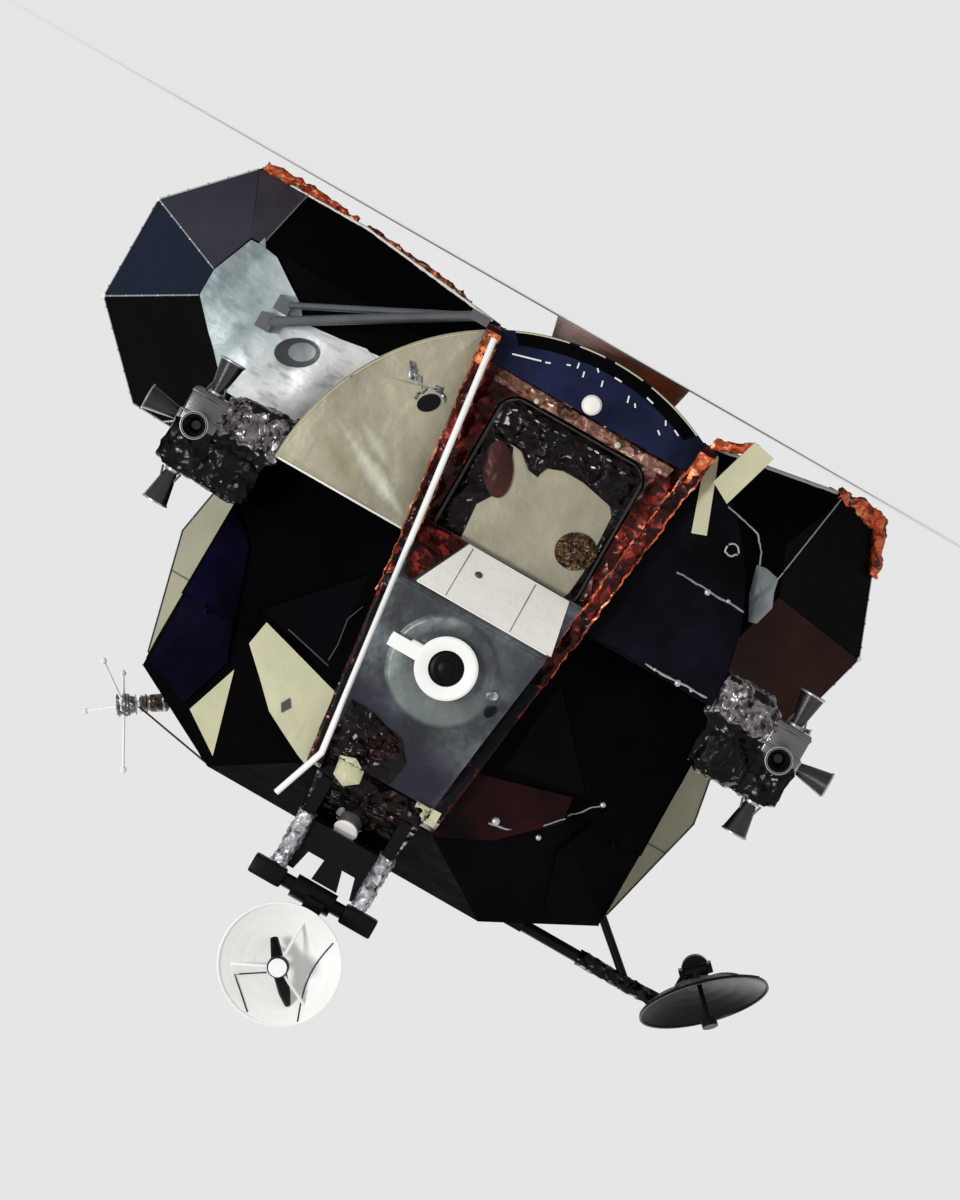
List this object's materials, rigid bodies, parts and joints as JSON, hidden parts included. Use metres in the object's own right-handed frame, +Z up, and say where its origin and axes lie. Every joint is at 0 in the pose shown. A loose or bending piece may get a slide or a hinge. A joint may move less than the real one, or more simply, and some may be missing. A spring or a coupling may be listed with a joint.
{
  "type": "lunar module ascent stage",
  "caption": "Ascent stage of a crewed lunar lander: faceted cabin, side tank bays, aft bay, thruster clusters, swinging hatch, steerable radar and dish.",
  "frame": {"origin": "on the vertical axis through docking port and engine, at the plane of the nozzle's exit ring, on which the stage stands", "axes": "+Z up, -Y to the front with the hatch, +X to the craft's left (port)"},
  "size_m": [4.6747, 4.173, 3.713],
  "materials": {
    "dark_shield": "matte black paint on thin sheet",
    "slate_skin": "matte slate paint on thin sheet",
    "side_shield": "satin khaki and grey thin sheet",
    "cream_skin": "satin cream thin sheet",
    "nose_skin": "satin bare sheet",
    "foil_copper": "crinkled copper foil",
    "foil_silver": "crinkled silver foil",
    "white_paint": "satin white paint",
    "black_paint": "matte black paint",
    "bare_metal": "satin metal",
    "nozzle_brown": "matte brown ablative skin",
    "structure": "satin",
    "window_glass": "dark glass"
  },
  "bodies": {
    "stage": {"aft_equipment_bay": "side_shield", "aft_panels": "slate_skin", "alignment_telescope": "bare_metal", "ascent_engine": "structure", "ascent_engine_nozzle": "nozzle_brown", "cabin_floor": "structure", "cabin_lower_shell": "dark_shield", "cabin_upper_shell": "dark_shield", "diagonal_strut_port": "bare_metal", "diagonal_strut_starboard": "bare_metal", "docking_drogue": "bare_metal", "docking_target": "white_paint", "docking_tunnel": "bare_metal", "forehead": "dark_shield", "front_beam_port": "foil_copper", "front_beam_starboard": "foil_copper", "handrail": "white_paint", "hatch_surround": "foil_copper", "lower_front_panel_port": "cream_skin", "lower_front_panel_starboard": "slate_skin", "lower_lip": "dark_shield", "midsection": "side_shield", "nose": "nose_skin", "overhead_window_pane": "window_glass", "radar_mount": "foil_silver", "rod_antenna_aft": "white_paint", "rod_antenna_port": "white_paint", "steerable_antenna_boom": "black_paint", "tank_bay_front_shield": "foil_silver", "tank_bay_port": "slate_skin", "tank_bay_starboard": "dark_shield", "thruster_boom_port_aft": "foil_silver", "thruster_boom_port_front": "foil_silver", "thruster_boom_starboard_aft": "foil_silver", "thruster_boom_starboard_front": "foil_silver", "thrusters_port_aft": "bare_metal", "thrusters_port_front": "bare_metal", "thrusters_starboard_aft": "bare_metal", "thrusters_starboard_front": "bare_metal", "tracking_light": "white_paint", "window_bay_port": "dark_shield", "window_bay_starboard": "dark_shield", "window_pane_port": "window_glass", "window_pane_starboard": "window_glass"},
    "forward_hatch": {"forward_hatch": "cream_skin"},
    "radar_yoke": {"radar_yoke": "black_paint"},
    "radar_dish": {"radar_dish": "white_paint"},
    "steerable_fork": {"steerable_antenna_fork": "black_paint"},
    "steerable_dish": {"steerable_antenna_dish": "black_paint"}
  },
  "joints": [
    {"name": "forward_hatch_hinge", "type": "hinge", "parent": "stage", "child": "forward_hatch", "pos_m": [-0.44, -1.634, 0.845], "axis": [0, 0, 1], "range_deg": [0, 90]},
    {"name": "radar_shaft", "type": "hinge", "parent": "stage", "child": "radar_yoke", "pos_m": [0, -1.75, 3.065], "axis": [1, 0, 0], "range_deg": [-70, 60]},
    {"name": "radar_trunnion", "type": "hinge", "parent": "radar_yoke", "child": "radar_dish", "pos_m": [-0.025, -1.85, 3.408], "axis": [0, 0, 1], "range_deg": [-55, 55]},
    {"name": "steerable_roll", "type": "hinge", "parent": "stage", "child": "steerable_fork", "pos_m": [-1.849, -1.18, 2.502], "axis": [0, 1, 0], "range_deg": [-165, 165]},
    {"name": "steerable_tilt", "type": "hinge", "parent": "steerable_fork", "child": "steerable_dish", "pos_m": [-1.849, -1.18, 2.502], "axis": [-0.7071, 0, -0.7071], "range_deg": [-141, 9]}
  ]
}
